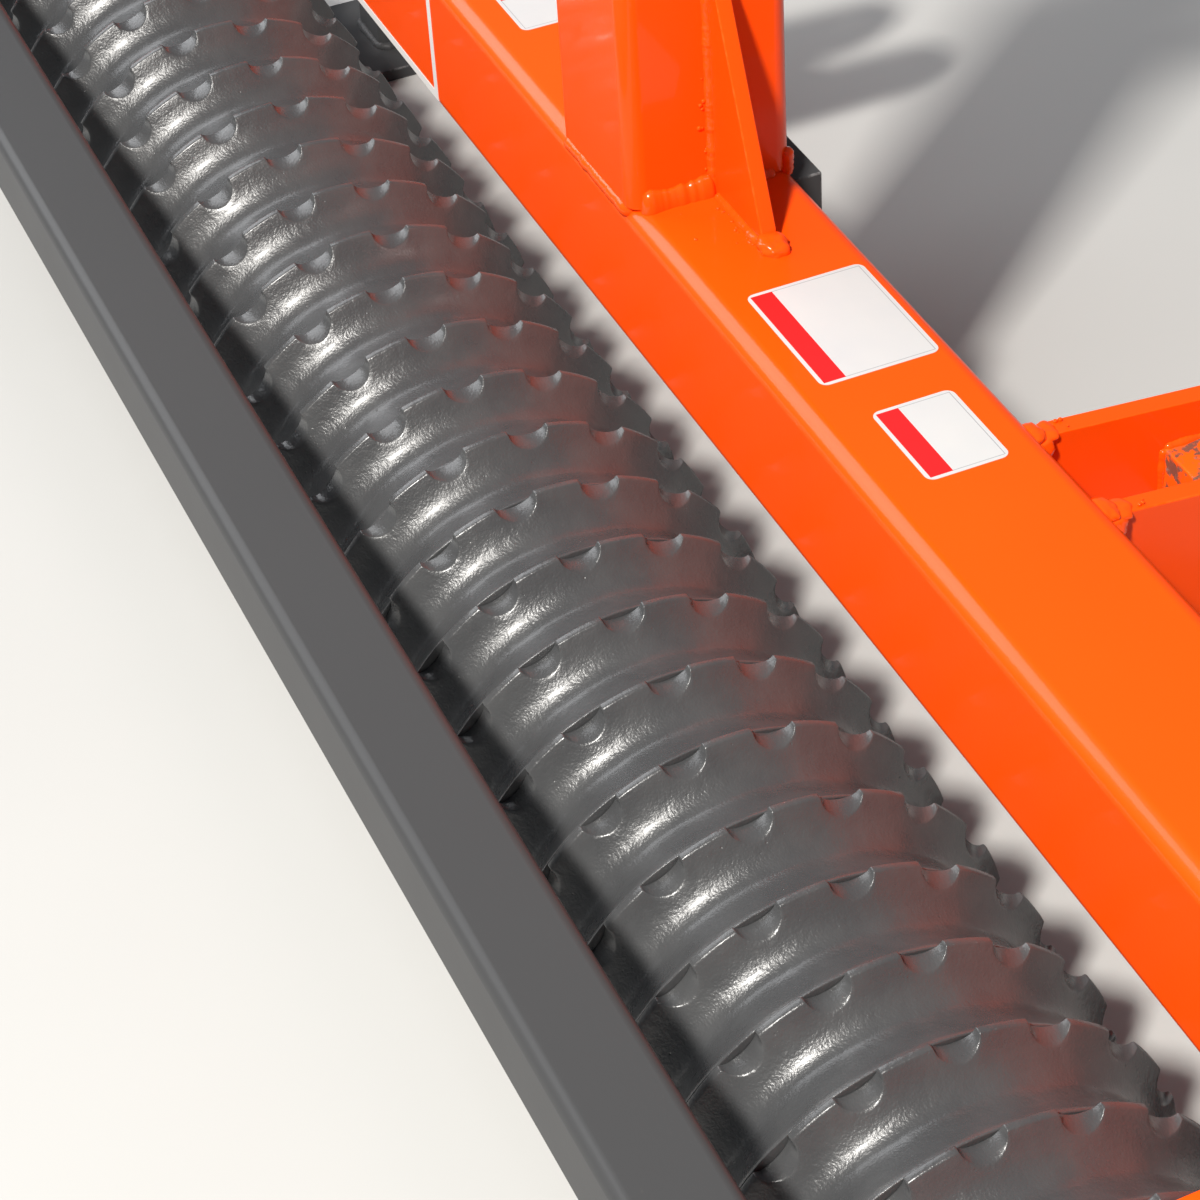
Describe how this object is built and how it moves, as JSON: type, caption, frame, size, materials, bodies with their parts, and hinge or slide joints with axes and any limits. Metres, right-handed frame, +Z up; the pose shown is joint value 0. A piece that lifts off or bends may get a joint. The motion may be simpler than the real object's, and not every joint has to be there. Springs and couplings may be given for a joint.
{
  "type": "cultipacker",
  "caption": "Linkage-mounted cultipacker: a free roller of toothed cast rings under a square toolbar with a mast, lower link plates, a rear bar and sliding parking stands.",
  "frame": {"origin": "centre of the machine's box, on the floor", "axes": "+X to the machine's right along the roller, +Y forward to the tractor, +Z up"},
  "size_m": [1.7082, 0.618, 0.7788],
  "materials": {
    "orange_paint": "gloss",
    "grey_paint": "satin",
    "ring_paint": "semi-gloss over rough casting",
    "bearing_paint": "semi-gloss",
    "bare_steel": "machined",
    "zinc_plate": "zinc plated"
  },
  "bodies": {
    "frame": {"toolbar": "orange_paint", "rear_bar": "grey_paint", "bar_flanges": "grey_paint", "side_plates": "orange_paint", "bearings": "bearing_paint", "mast_post": "orange_paint", "mast_cap": "orange_paint", "center_plate": "grey_paint", "link_plates_inner": "orange_paint", "link_plates_outer": "orange_paint", "stand_sleeves": "orange_paint", "stand_nuts": "orange_paint", "stand_screws": "zinc_plate", "mast_gusset_left": "orange_paint", "top_ear_left": "orange_paint", "link_spacer_left": "orange_paint", "mast_gusset_right": "orange_paint", "top_ear_right": "orange_paint", "link_spacer_right": "orange_paint"},
    "roller": {"packer_rings": "ring_paint", "roller_shaft": "bare_steel", "clamp_washers": "grey_paint"},
    "stand_left": {"stand_leg_left": "grey_paint", "stand_foot_left": "grey_paint"},
    "stand_right": {"stand_leg_right": "grey_paint", "stand_foot_right": "grey_paint"}
  },
  "joints": [
    {"name": "roller_spin", "type": "hinge", "parent": "frame", "child": "roller", "pos_m": [0, -0.1012, 0.127], "axis": [1, 0, 0], "continuous": true},
    {"name": "stand_left_slide", "type": "slide", "parent": "frame", "child": "stand_left", "axis": [0, 0, 1], "range_m": [0, 0.18]},
    {"name": "stand_right_slide", "type": "slide", "parent": "frame", "child": "stand_right", "axis": [0, 0, 1], "range_m": [0, 0.18]}
  ]
}
